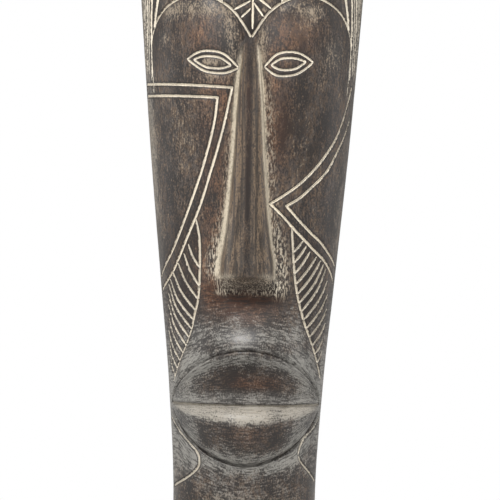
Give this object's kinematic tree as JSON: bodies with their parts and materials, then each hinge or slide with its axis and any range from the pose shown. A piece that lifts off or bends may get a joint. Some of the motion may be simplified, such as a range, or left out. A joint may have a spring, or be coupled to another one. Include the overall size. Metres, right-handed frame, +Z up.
{
  "type": "tribal mask sculpture",
  "caption": "Tall carved wooden mask sculpture: a long stylised face wrapped round a tapering log, with incised bands and feathers, standing on its flat underside.",
  "frame": {"origin": "middle of the flat underside, on the log's own axis", "axes": "+Z up along the log, the face looks along -Y, +X to the viewer's right"},
  "size_m": [0.212, 0.1266, 0.61],
  "materials": {
    "stained_wood": "dark brown stain under semi-gloss wax, with chalky whitewash left in the cut lines and rubbed over the high grain"
  },
  "bodies": {
    "root": {"carved_mask": "stained_wood"}
  },
  "joints": []
}
